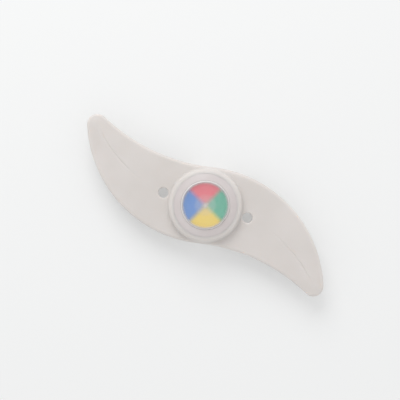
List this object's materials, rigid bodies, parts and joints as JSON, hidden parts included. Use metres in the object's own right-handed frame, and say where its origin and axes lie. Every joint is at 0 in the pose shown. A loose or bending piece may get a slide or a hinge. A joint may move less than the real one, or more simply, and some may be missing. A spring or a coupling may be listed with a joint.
{
  "type": "bicycle spoke wheel light",
  "caption": "S-shaped soft milky light guide that is tied between a bicycle wheel's spokes, with a round battery light unit and a push button in its hub.",
  "frame": {"origin": "on the hub's axis, at the flat back face of the light unit", "axes": "+Z out of the button, away from the back face; +X through the two tie holes, along the longest extent; +Y across the hub, to the left wing's raised tip"},
  "size_m": [0.1176, 0.0488, 0.018],
  "materials": {
    "milky_elastomer": "satin moulded soft elastomer, milky and translucent",
    "frosted_cap": "frosted moulded plastic, milky",
    "frosted_button": "frosted moulded plastic that the disc shows through",
    "printed_film": "four printed quarters: red, blue, yellow and green",
    "white_abs": "fine-textured moulded plastic, off-white",
    "seal_rubber": "smooth black rubber",
    "cell_steel": "bright nickel-plated steel",
    "spring_bronze": "nickel-plated spring bronze sheet",
    "board_laminate": "green solder mask over glass laminate",
    "screw_steel": "zinc-plated steel",
    "red_lens": "tinted clear epoxy",
    "green_lens": "tinted clear epoxy",
    "yellow_lens": "tinted clear epoxy",
    "blue_lens": "tinted clear epoxy",
    "tinned_wire": "tinned steel",
    "black_epoxy": "black moulding compound with tinned ends",
    "tan_ceramic": "fired ceramic with tinned ends",
    "switch_plastic": "black moulded nylon"
  },
  "bodies": {
    "light_body": {"wing_body": "milky_elastomer", "front_cap": "frosted_cap", "rear_case": "white_abs", "cover_seal": "seal_rubber", "rear_cell": "cell_steel", "front_cell": "cell_steel", "positive_clip": "spring_bronze", "negative_spring": "spring_bronze", "circuit_board": "board_laminate", "board_screws": "screw_steel", "red_lamp": "red_lens", "green_lamp": "green_lens", "yellow_lamp": "yellow_lens", "blue_lamp": "blue_lens", "lamp_leads": "tinned_wire", "driver_chip": "black_epoxy", "chip_resistors": "black_epoxy", "chip_capacitor": "tan_ceramic", "switch_base": "switch_plastic", "switch_terminals": "tinned_wire", "switch_cover": "cell_steel", "snap_dome": "cell_steel"},
    "button": {"push_button": "frosted_button", "colour_disc": "printed_film"},
    "plunger": {"switch_plunger": "switch_plastic"},
    "cover": {"battery_cover": "white_abs"}
  },
  "joints": [
    {"name": "button_press", "type": "slide", "parent": "light_body", "child": "button", "axis": [0, 0, -1], "range_m": [0, 0.0004], "stiffness_N_per_m": 2000, "springref_m": -0.0002},
    {"name": "plunger_press", "type": "slide", "parent": "light_body", "child": "plunger", "axis": [0, 0, -1], "range_m": [0, 0.0004], "deforming": ["snap_dome"]},
    {"name": "cover_twist", "type": "hinge", "parent": "light_body", "child": "cover", "pos_m": [0, 0, 0], "axis": [0, 0, -1], "range_deg": [0, 60]}
  ],
  "couplings": [
    {"joint": "plunger_press", "follows": "button_press", "ratio": 1}
  ]
}
